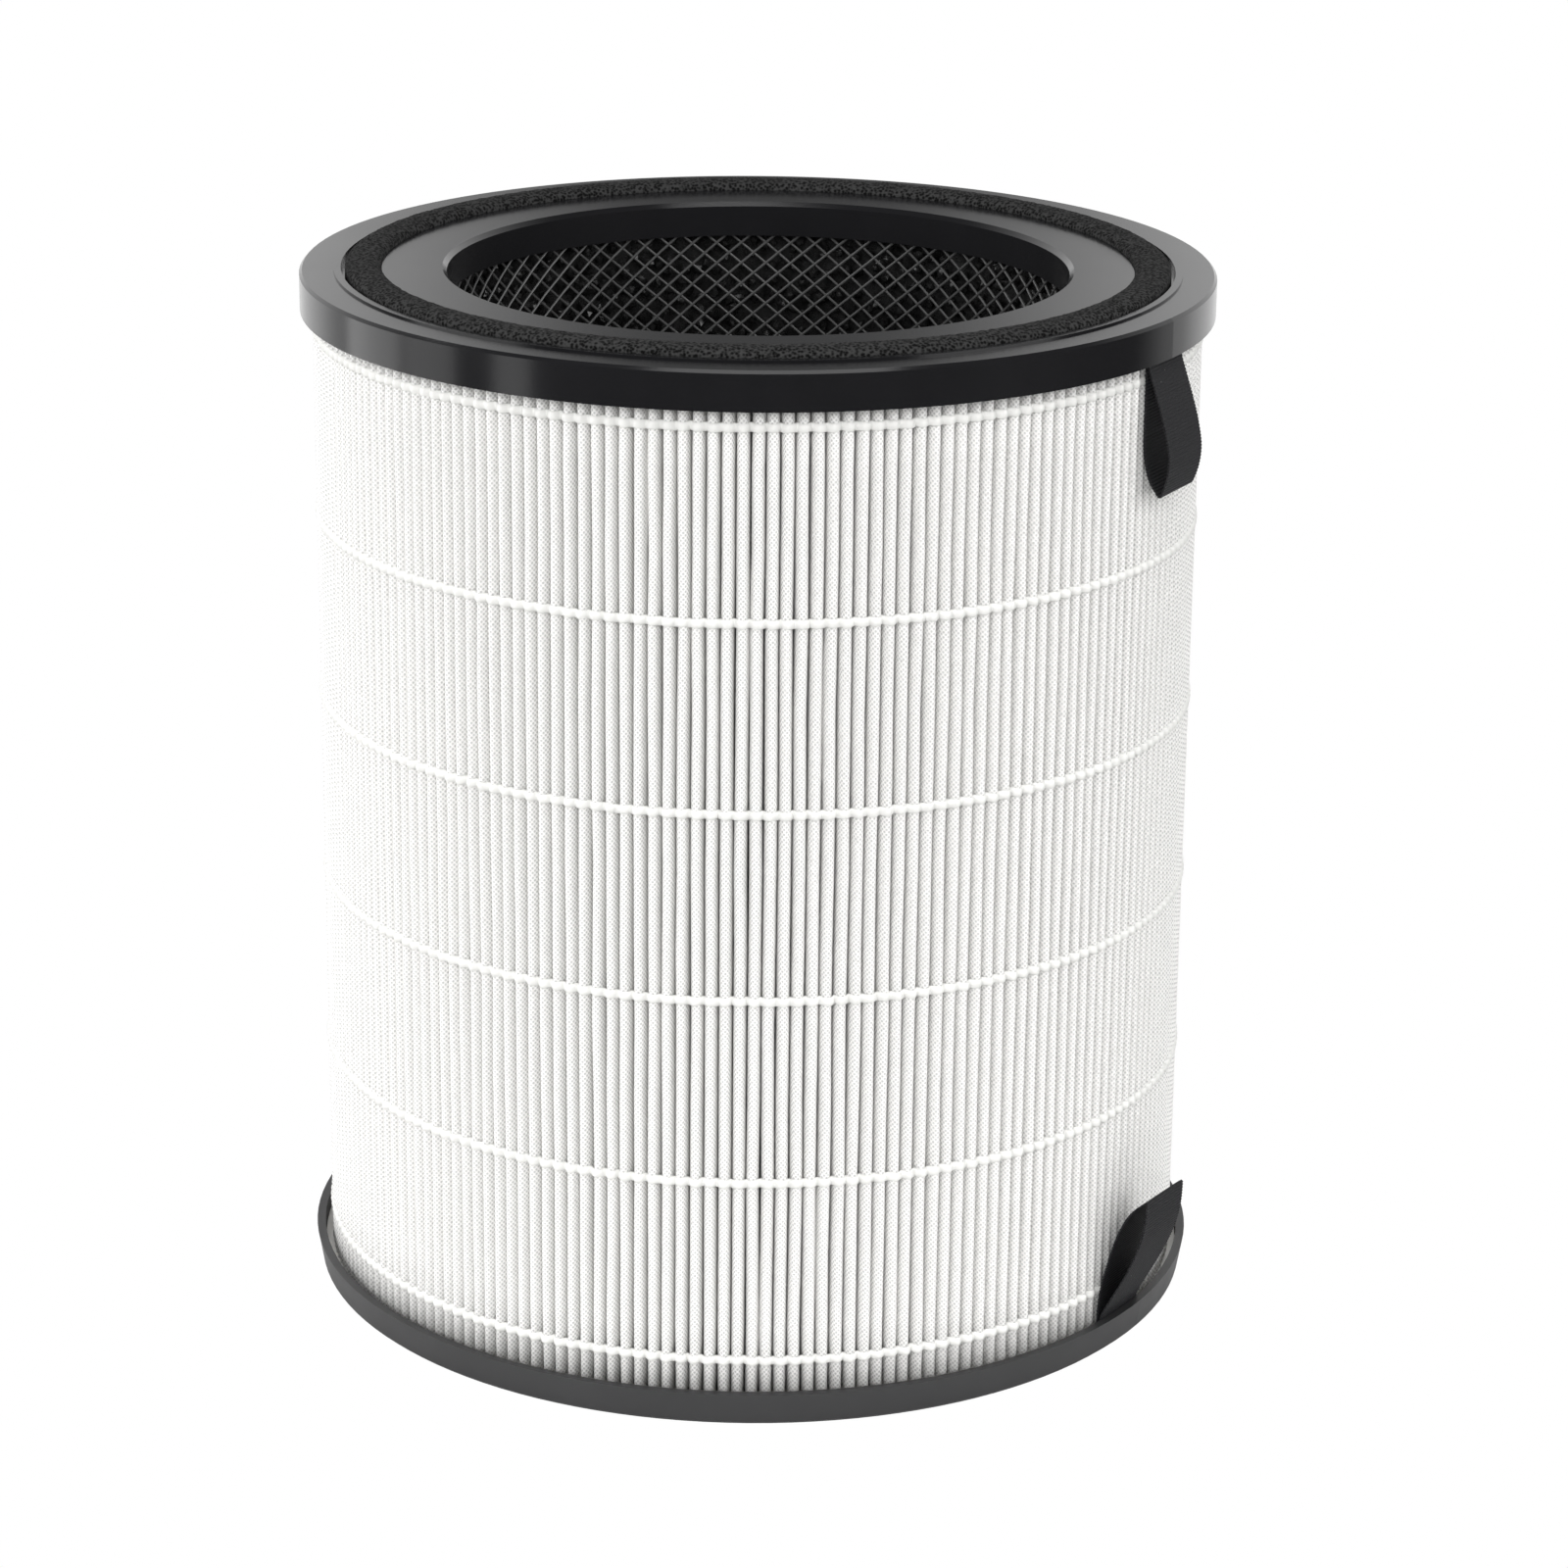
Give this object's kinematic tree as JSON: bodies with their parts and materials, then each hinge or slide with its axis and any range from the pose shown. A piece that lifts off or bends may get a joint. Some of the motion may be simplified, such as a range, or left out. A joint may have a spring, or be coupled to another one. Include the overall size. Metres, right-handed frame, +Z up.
{
  "type": "air purifier filter",
  "caption": "Cylindrical air purifier filter: pleated white media round a carbon bed, dark end caps, foam gasket on top, open core and two ribbon pull tabs.",
  "frame": {"origin": "centre of the lower cap's underside, on the filter's axis", "axes": "+Z up along the axis towards the open end, +X towards the upper pull tab"},
  "size_m": [0.2631, 0.252, 0.2918],
  "materials": {
    "top_cap_plastic": "gloss",
    "base_cap_plastic": "satin",
    "gasket_foam": "matt",
    "filter_media": "matt",
    "glue_beads": "satin",
    "set_glue": "satin",
    "net_plastic": "gloss",
    "carbon_granules": "matt",
    "sleeve_cloth": "matt",
    "ribbon": "matt"
  },
  "bodies": {
    "root": {"top_end_cap": "top_cap_plastic", "foam_gasket": "gasket_foam", "top_adhesive": "set_glue", "pleated_media": "filter_media", "spacer_bead_1": "glue_beads", "spacer_bead_2": "glue_beads", "spacer_bead_3": "glue_beads", "spacer_bead_4": "glue_beads", "spacer_bead_5": "glue_beads", "spacer_bead_6": "glue_beads", "carbon_sleeve": "sleeve_cloth", "carbon_bed": "carbon_granules", "inner_net": "net_plastic", "bottom_adhesive": "set_glue", "bottom_end_cap": "base_cap_plastic", "top_pull_tab": "ribbon", "bottom_pull_tab": "ribbon"}
  },
  "joints": []
}
